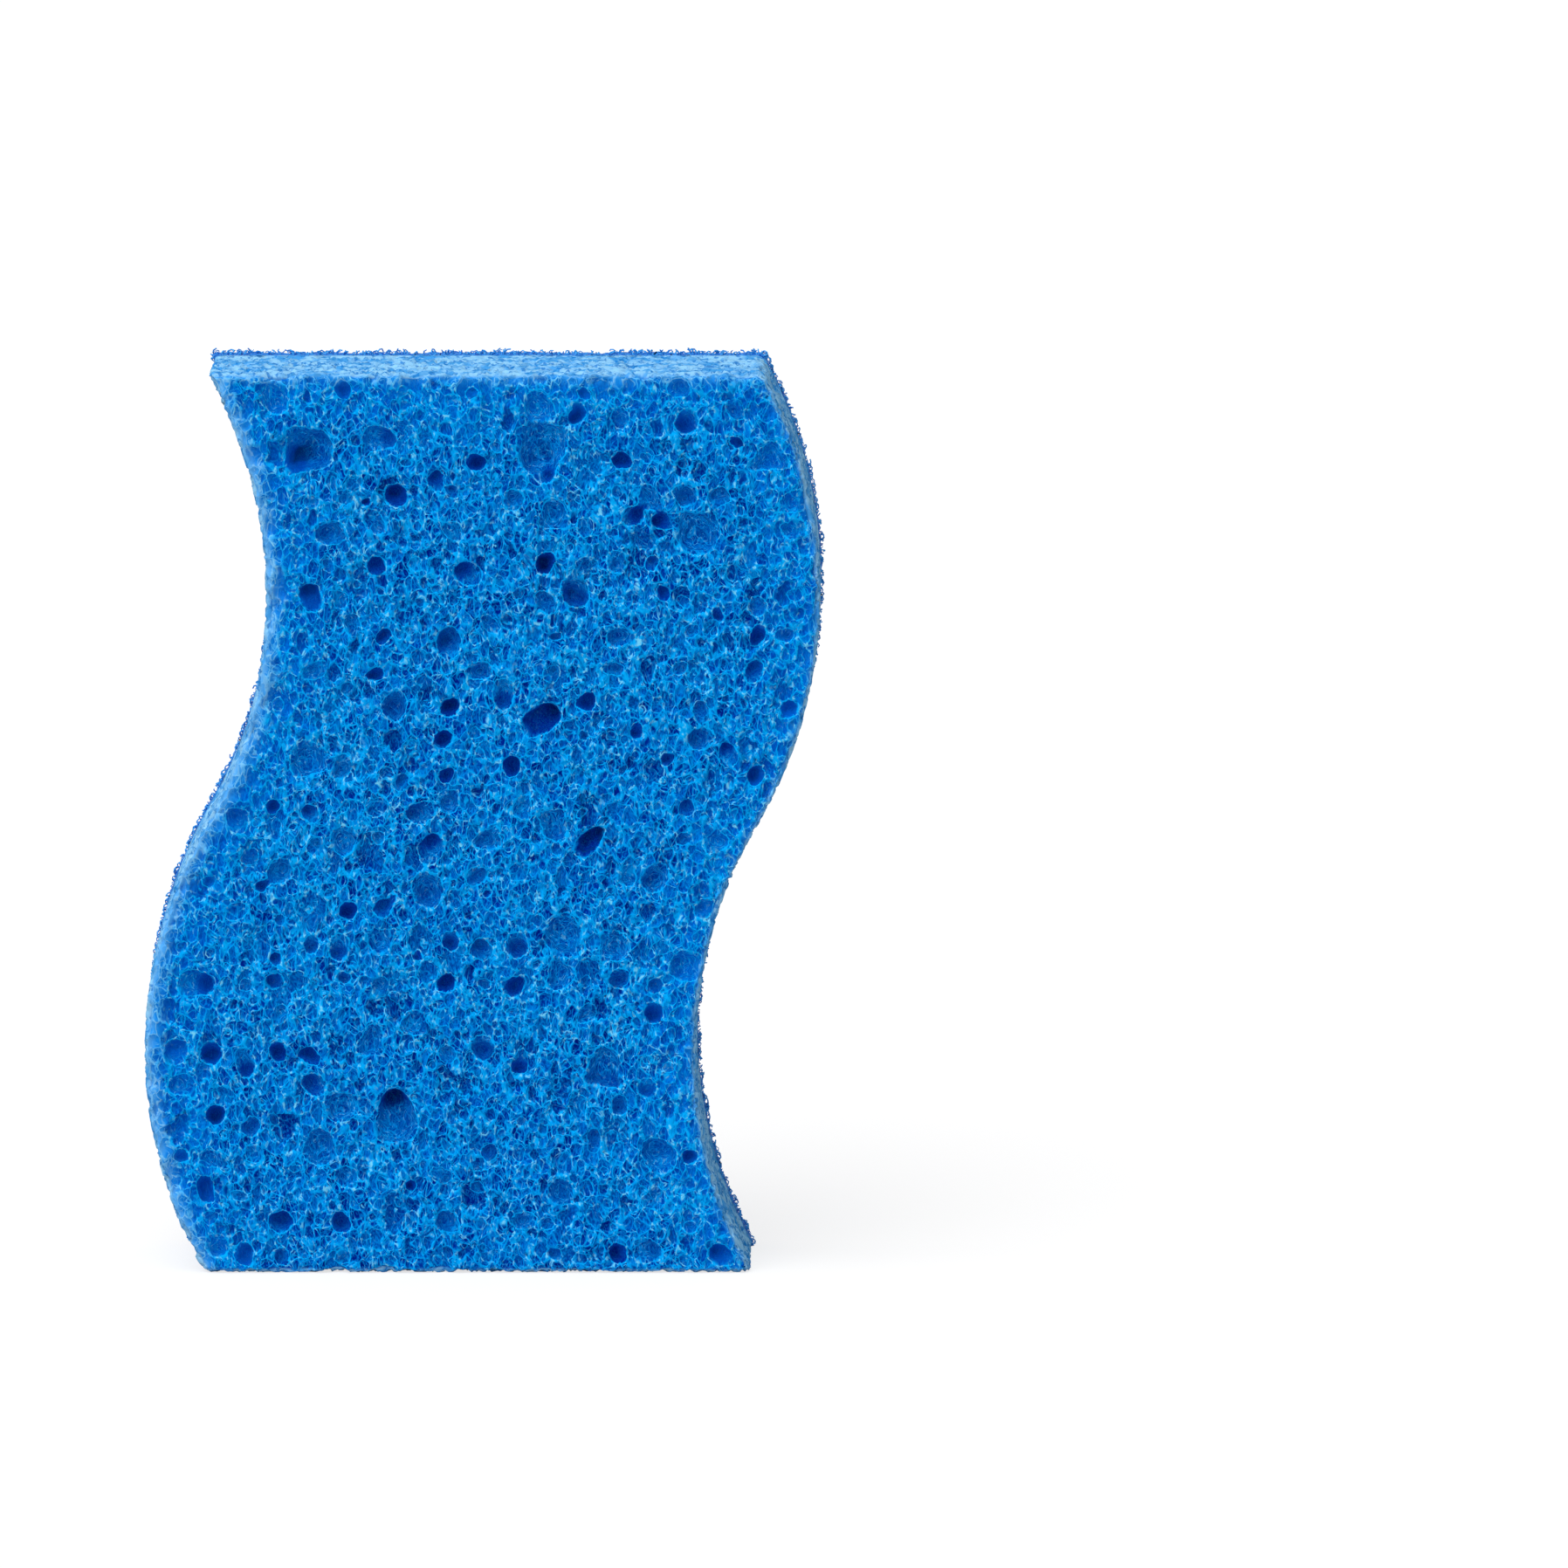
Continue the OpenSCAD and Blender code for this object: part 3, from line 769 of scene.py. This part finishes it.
# Millimetres from the outline
NEAR_EDGE, GLOW_STRIP, CUT_STRIP = (1.0, 12.0, 0.5, 0.0), (0.6, 2.8, 0.75, 0.0), (0.0, 1.5, 0.85, 0.0)
EDGE_RAGGED = 3.0


def add_lines(tree, reads, colour, line):
    # Painted light: cells near the outline are lighter, where light comes through the thin foam
    between = product(tree, step(tree, reads.edge, *NEAR_EDGE), step(tree, line, *BETWEEN_LINES))
    colour = mix(tree, between, colour, EDGE_CELL_LIT)
    # Painted highlights: the pale lines, with a few almost white glints
    pale_highlight = mix(tree, step(tree, reads.grain, *GLINTS), HIGHLIGHT_LINE, GLINT)
    return mix(tree, product(tree, line, step(tree, reads.patch, *LINE_STRENGTH)), colour, pale_highlight)


def add_glowing_edge(tree, reads, colour, line):
    # Painted light: a ragged strip along the outline is painted to glow pale
    ragged = uneven(tree, reads.edge, reads.patch, EDGE_RAGGED)
    colour = mix(tree, step(tree, ragged, *GLOW_STRIP), colour, mix(tree, line, EDGE_GLOW, CUT_AND_GLOW))
    return mix(tree, step(tree, ragged, *CUT_STRIP), colour, mix(tree, reads.patch, EDGE_GLOW, CUT_AND_GLOW))


# %% [markdown]
# The blade smears the cut edges, so they are pale, with fine streaks along the cut, short dark
# dashes, and darker slits where a flattened cell is open.

# %% Cut edges
# How often each pattern repeats in a metre, along each axis
STREAK_GRID, DASH_GRID = (300, 1300, 300), (1300, 1600, 1300)
STREAK_NOISE, DASH_NOISE = (1.0, 4.0), (1.0, 2.0)
STREAKS, DASHES, SLITS = (0.38, 0.6), (0.36, 0.46, 0.8, 0.0), (0.5, 0.9, 0.0, 0.7)


def cut_edge(tree, reads):
    streak = noise_of(tree, vector(tree, "MULTIPLY", reads.place, STREAK_GRID), *STREAK_NOISE)
    dash = noise_of(tree, vector(tree, "MULTIPLY", reads.place, DASH_GRID), *DASH_NOISE)
    colour = mix(tree, step(tree, streak, *STREAKS), CUT_SHADE, CUT_AND_GLOW)
    colour = mix(tree, step(tree, dash, *DASHES), colour, CUT_SLIT)
    return mix(tree, step(tree, reads.pit, *SLITS), colour, CUT_SLIT)


# %% [markdown]
# The foam's finish joins all of these in one material. It is quite matt, and the lines and walls
# stand up a little as bumps.

# %% Foam material
FOAM_ROUGH, FOAM_SHINE = 0.9, 0.0
ON_CUT = (0.03, 0.5)
WALL_RISE = 0.5
BUMP_STRENGTH, BUMP_HEIGHT = 0.5, 0.1 * MM


def foam_material():
    material, tree, shader = new_material("cellulose_foam", FOAM_ROUGH, FOAM_SHINE)
    reads = foam_reads(tree)
    colour, line, wall = small_cells(tree, reads)
    colour, veil, rim_highlights = add_round_cells(tree, reads, colour)
    colour, opened, torn_rim_highlight = add_large_cells(tree, reads, colour)
    colour = add_fibres(tree, reads, colour, opened)
    closed = calc(tree, "SUBTRACT", 1.0, opened)
    rim_highlights = calc(tree, "MAXIMUM", product(tree, rim_highlights, closed), torn_rim_highlight)
    line = calc(tree, "MAXIMUM", product(tree, line, calc(tree, "MINIMUM", veil, closed)), rim_highlights)
    colour = add_lines(tree, reads, colour, line)
    colour = add_glowing_edge(tree, reads, colour, line)
    colour = mix(tree, step(tree, reads.cut, *ON_CUT), colour, cut_edge(tree, reads))
    tree.links.new(colour, shader.inputs["Base Color"])
    height = calc(tree, "MAXIMUM", line, product(tree, wall, WALL_RISE))
    raised = {"Height": height, "Strength": BUMP_STRENGTH, "Distance": BUMP_HEIGHT}
    bump = put(tree, "ShaderNodeBump", raised)
    tree.links.new(bump.outputs[0], shader.inputs["Normal"])
    return material


foam_finish = foam_material()
print("foam finish:", len(foam_finish.node_tree.nodes), "nodes")

# %% [markdown]
# Now the tree runs on the block. A Decimate modifier after it joins the flattest triangles, so
# that the detail goes where the cells are. The result is turned into a plain mesh, because the
# export doesn't run node trees, and no point of it may sink below the floor.

# %% Make the foam
FOAM_TRIANGLES = 195000


def set_inputs(modifier, values):
    """Sets a tree's inputs by their identifiers."""
    for item in modifier.node_group.interface.items_tree:
        if item.in_out == "INPUT" and item.name in values:
            modifier[item.identifier] = values[item.name]


def baked(source, name):
    """The evaluated object as a plain, smooth mesh in a new object, with the source removed."""
    mesh = bpy.data.meshes.new_from_object(source.evaluated_get(bpy.context.evaluated_depsgraph_get()))
    mesh.name = name
    mesh.shade_smooth()
    bpy.data.objects.remove(source)
    return new_object(name, mesh)


def points_of(mesh):
    values = np.empty(len(mesh.vertices) * 3, np.float32)
    mesh.vertices.foreach_get("co", values)
    return values.reshape(-1, 3)


def move_points(mesh, points):
    mesh.vertices.foreach_set("co", points.astype(np.float32).ravel())


def triangles_of(mesh):
    return sum(len(p.vertices) - 2 for p in mesh.polygons)


foam_block.data.materials.append(foam_finish)
opener = foam_block.modifiers.new("open_cells", "NODES")
opener.node_group = opening_tree
set_inputs(opener, {"Round depth": 1.0, "Fine depth": 0.35, "Fuzz": 0.07, "Material": foam_finish})
thinning = foam_block.modifiers.new("thin_out", "DECIMATE")
thinning.ratio = min(1.0, FOAM_TRIANGLES / (2 * len(foam_block.data.polygons)))
foam = baked(foam_block, "foam_body")
lifted = points_of(foam.data)
lifted[:, 2] = np.maximum(lifted[:, 2], 0)
move_points(foam.data, lifted)
print("foam:", triangles_of(foam.data), "triangles", [a.name for a in foam.data.attributes])

# %% [markdown]
# The scrubbing layer is a mat of coiled plastic fibre. A lumpy block gives the mat its body. Rays
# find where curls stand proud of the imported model's mat, and the block rises there too.

# %% Mat of the scrub layer
SCRUB_COUNTS = ((150, 7, 250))
SCRUB_CORNER = 0.4 * MM
MAT_PROUD = 0.6 * MM
MAT_LUMP = 0.22 * MM
MAT_LUMPS = ((1.0 * MM, 1.0, 21), (0.5 * MM, 0.6, 22))
MAT_SEAM_FADE = 0.6 * MM
MAT_BACK_RUN = 0.2 * MM

scrub_block, scrub_points, scrub_normals, _ = waved_block(
    "scrub_block", BACK_Y - MAT_PROUD, SEAM_Y, SCRUB_COUNTS, SCRUB_CORNER)
mat_skin = search_tree("scrub_layer")
proud = np.zeros(len(scrub_points))
for i in np.flatnonzero(scrub_points[:, 1] > BACK_Y - 2 * MAT_PROUD):
    out = Vector(scrub_normals[i])
    gone = mat_skin.ray_cast(Vector(scrub_points[i]) + out * 2 * MAT_PROUD, -out, 3 * MAT_PROUD)[3]
    proud[i] = 2 * MAT_PROUD - gone if gone else 0.0
off_seam = np.clip((scrub_points[:, 1] - SEAM_Y) / MAT_SEAM_FADE, 0, 1)
lumps = MAT_LUMP * lumpy(scrub_points, MAT_LUMPS)[:, 0]
scrub_points += scrub_normals * (np.clip(proud, 0, MAT_PROUD) + lumps * off_seam)[:, None]
scrub_points[:, 2] = np.maximum(scrub_points[:, 2], 0)
scrub_points[:, 1] = np.minimum(scrub_points[:, 1], BACK_Y + MAT_BACK_RUN)
move_points(scrub_block.data, scrub_points)
print("mat:", len(scrub_points), "points, proud curls, mm:", round(proud.max() / MM, 2))

# %% [markdown]
# The fibre is one blue, so the mat is painted darker deep down as painted shade, and painted lighter
# where single fibres stand free and catch the light. The mark called loose is 1 on those free
# fibres, and a fine noise specks the rest.

# %% Scrub material
SCRUB_ROUGH, SCRUB_SHINE = 0.6, 0.15
SPECK_NOISE, SPECKS = (2.4, 3.0), (0.4, 0.6, 0.0, 0.5)
LOOSE_LIT = 0.5


def scrub_material():
    material, tree, shader = new_material("scrub_fibre", SCRUB_ROUGH, SCRUB_SHINE)
    place = vector(tree, "SCALE", put(tree, "ShaderNodeTexCoord").outputs["Object"], scale=TO_MM)
    speck = noise_of(tree, place, *SPECK_NOISE)
    loose = shader_mark(tree, "loose", "Fac")
    # Painted shade on the mat and painted light on the loose fibres, with random specks
    tone = calc(tree, "MULTIPLY_ADD", loose, LOOSE_LIT, step(tree, speck, *SPECKS))
    tree.links.new(mix(tree, tone, FIBRE_SHADED, FIBRE_LIT), shader.inputs["Base Color"])
    return material


scrub_finish = scrub_material()
scrub_block.data.materials.append(scrub_finish)
print("scrub finish:", len(scrub_finish.node_tree.nodes), "nodes")

# %% [markdown]
# Thousands of short curls stand out of the mat. One curl is a piece of a spiral with a thin
# three-sided profile, which is enough for a fibre this fine. Geometry Nodes scatter it over the
# mat, turn each copy at random, and make them all real at the end.

# %% A tree that scatters curls
PER_SQUARE_MM = 1e6
CURL_STEPS, FIBRE_SIDES = 8, 3
CURL_START, CURL_END, CURL_HEIGHT = 1.0 * MM, 0.7 * MM, 0.5 * MM
LEAST_CURL, LARGEST_CURL = 0.6, 1.25
SPIN_SEED, SIZE_SEED = 5, 6


def one_curl(tree, turns, fibre_radius):
    spiral = put(tree, "GeometryNodeCurveSpiral", {
        "Resolution": CURL_STEPS, "Rotations": turns,
        "Start Radius": CURL_START, "End Radius": CURL_END, "Height": CURL_HEIGHT})
    profile = put(tree, "GeometryNodeCurvePrimitiveCircle", {"Resolution": FIBRE_SIDES})
    tree.links.new(product(tree, fibre_radius, MM), profile.inputs["Radius"])
    return put(tree, "GeometryNodeCurveToMesh", {
        "Curve": spiral.outputs[0], "Profile Curve": profile.outputs[0], "Fill Caps": True}).outputs[0]


def curls_tree(name, where, turn_low, turn_high):
    """A tree that plants curls where a mark says, each turned between two sets of angles."""
    tree, inputs = new_tree(name, {
        "Density": 0.3, "Curl radius": 0.8, "Fibre radius": 0.11, "Turns": 0.7, "Seed": 4})
    chosen = product(tree, mark_of(tree, where), PER_SQUARE_MM)
    density = product(tree, inputs["Density"], chosen)
    scatter = put(tree, "GeometryNodeDistributePointsOnFaces", {
        "Mesh": inputs["Geometry"], "Density": density, "Seed": inputs["Seed"]})
    spin = put(tree, "FunctionNodeRandomValue", {0: turn_low, 1: turn_high, "Seed": SPIN_SEED},
               data_type="FLOAT_VECTOR").outputs[0]
    size = put(tree, "FunctionNodeRandomValue", {2: LEAST_CURL, 3: LARGEST_CURL, "Seed": SIZE_SEED},
               data_type="FLOAT").outputs[1]
    curl = one_curl(tree, inputs["Turns"], inputs["Fibre radius"])
    planted = put(tree, "GeometryNodeInstanceOnPoints", {
        "Points": scatter.outputs["Points"], "Instance": curl,
        "Rotation": spin, "Scale": product(tree, size, inputs["Curl radius"])})
    end_tree(tree, planted.outputs[0], inputs["Material"])
    return tree


# %% [markdown]
# Fine curls stand out of the rim, turned every way, where the layer was cut. On the back wider
# loops lie almost flat, because the layer was pressed when it was made. Both come from the same
# kind of tree, with other turns, sizes and places. The marks say where they grow: the curls mostly
# on the rim, and the loops only on the back, away from its edges.

# %% Where the fibres grow
BACK_DEPTH = 1.2 * MM
RIM_SHARE = 9.0
RIM_FADE = 1.0 * MM
LOOP_MARGIN = 1.0 * MM
on_back = scrub_points[:, 1] > BACK_Y - BACK_DEPTH
on_rim = RIM_SHARE * np.clip((scrub_points[:, 1] - SEAM_Y) / RIM_FADE, 0, 1)
from_side = WIDTH / 2 - np.abs(scrub_points[:, 0] - wave(scrub_points[:, 2])[0])
from_end = np.minimum(scrub_points[:, 2], HEIGHT - scrub_points[:, 2])
keep(scrub_block.data, "fringed", np.where(on_back, 1.0, on_rim))
keep(scrub_block.data, "looped", on_back & (np.minimum(from_side, from_end) > LOOP_MARGIN))
print("share of the mat's points on its back:", round(float(on_back.mean()), 2))

# %% Make the scrub layer
FULL_TURN = 6.283
# The angles between which each fibre is turned, in radians
ANY_WAY = ((0, 0, 0), (FULL_TURN, FULL_TURN, FULL_TURN))
LYING = ((1.25, 0, -0.3), (1.9, FULL_TURN, 0.3))
FLOOR_GAP, SEAM_GAP, BACK_RUN = 0.02 * MM, 0.05 * MM, 0.5 * MM
LOOP_LIFT = 0.25 * MM


def fibre_piece(name, tree, lift, values):
    """One plain mesh of all the fibres that a tree grows on the mat, kept off the floor and the foam."""
    source = new_object(name + "_source", scrub_block.data)
    maker = source.modifiers.new(name, "NODES")
    maker.node_group = tree
    set_inputs(maker, {**values, "Material": scrub_finish})
    piece = baked(source, name)
    points = points_of(piece.data)
    points[:, 2] = np.maximum(points[:, 2], FLOOR_GAP)
    points[:, 1] = np.clip(points[:, 1] + lift, SEAM_Y + SEAM_GAP, BACK_Y + BACK_RUN)
    move_points(piece.data, points)
    keep(piece.data, "loose", np.ones(len(points)))
    print(name, triangles_of(piece.data), "triangles")
    return piece


curl_sizes = {"Density": 0.45, "Curl radius": 0.45, "Fibre radius": 0.2, "Turns": 0.6, "Seed": 4}
loop_sizes = {"Density": 0.45, "Curl radius": 1.1, "Fibre radius": 0.11, "Turns": 1.0, "Seed": 8}
curls = fibre_piece("scrub_curls", curls_tree("scrub_curls", "fringed", *ANY_WAY), 0.0, curl_sizes)
loops = fibre_piece("scrub_loops", curls_tree("scrub_loops", "looped", *LYING), LOOP_LIFT, loop_sizes)
scrub = scrub_block
scrub.name = "scrub_mat"
scrub.data.shade_smooth()

# %% [markdown]
# The stage is a plain white floor under soft light. A white floor would throw much light back at
# the sponge, so for that light the floor is a pale grey. Only for the camera and for reflections
# does a glow of its own bring it up to white, with the sponge's shadow still on it. The sky does
# the same: it is dim as a light and white to look at.

# %% Floor and sky
FLOOR_HALF = 6.0
FLOOR_GREY, FLOOR_SEEN, FLOOR_GLOW = 0.65, 0.3, 0.72
FLOOR_ROUGH, FLOOR_SHINE = 0.9, 0.0
SKY_LIGHT, SKY_SEEN = 0.34, 1.0


def seen(tree):
    """1 for what the camera sees, straight or in a reflection or through glass, and 0 for light."""
    rays = put(tree, "ShaderNodeLightPath").outputs
    mirrored = calc(tree, "MAXIMUM", rays["Is Glossy Ray"], rays["Is Transmission Ray"])
    return calc(tree, "MAXIMUM", rays["Is Camera Ray"], mirrored)


def floor_material():
    material, tree, shader = new_material("floor_white", FLOOR_ROUGH, FLOOR_SHINE)
    watched = seen(tree)
    grey = calc(tree, "MULTIPLY_ADD", watched, FLOOR_SEEN - FLOOR_GREY, FLOOR_GREY)
    tree.links.new(grey, shader.inputs["Base Color"])
    glow = put(tree, "ShaderNodeEmission", {"Strength": product(tree, watched, FLOOR_GLOW)})
    both = put(tree, "ShaderNodeAddShader", {0: shader.outputs[0], 1: glow.outputs[0]})
    tree.links.new(both.outputs[0], tree.nodes["Material Output"].inputs["Surface"])
    return material


floor_mesh = bpy.data.meshes.new("floor")
floor_corners = [(x * FLOOR_HALF, y * FLOOR_HALF, 0) for x, y in ((-1, -1), (1, -1), (1, 1), (-1, 1))]
floor_mesh.from_pydata(floor_corners, [], [(0, 1, 2, 3)])
floor_mesh.materials.append(floor_material())
floor = new_object("floor", floor_mesh)

world = bpy.data.worlds.new("studio")
bpy.context.scene.world = world
world.use_nodes = True
sky = world.node_tree
sky_strength = calc(sky, "MULTIPLY_ADD", seen(sky), SKY_SEEN - SKY_LIGHT, SKY_LIGHT)
sky.nodes["Background"].inputs["Color"].default_value = (1, 1, 1, 1)
sky.links.new(sky_strength, sky.nodes["Background"].inputs["Strength"])
print("floor, m:", 2 * FLOOR_HALF, "sky light:", SKY_LIGHT)

# %% [markdown]
# Two wide lamps give the sponge its light. The stronger one stands high up on the left and makes the
# top edge the brightest face. The weaker one shines from the front, so that the open cells don't
# turn black.

# %% Lamps
LAMP_WIDTH = math.radians(50)
TOWARD_TOP, TOWARD_FRONT = (-0.3, -0.33, 1.0), (-0.6, -1.0, 0.45)


def soft_sun(name, toward, strength):
    """A far, very wide lamp: its light is even over the whole floor, and its shadows are soft."""
    data = bpy.data.lights.new(name, "SUN")
    data.angle, data.energy = LAMP_WIDTH, strength
    lamp = new_object(name, data)
    lamp.location = toward
    lamp.rotation_euler = Vector(toward).to_track_quat("Z", "Y").to_euler()
    print(name, "strength", strength)


soft_sun("top_light", TOWARD_TOP, 2.2)
soft_sun("front_light", TOWARD_FRONT, 0.7)
bpy.context.scene.view_settings.view_transform = "Standard"

# %% [markdown]
# Nothing moves, so all four ride on the root. The foam and the mat take the place of the imported
# model's two nodes, which are hidden.

# %% Hang every piece on the root and hide the imported nodes
for piece in (foam, scrub, curls, loops):
    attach(piece, "root")
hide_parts("sponge_body")
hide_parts("scrub_layer")
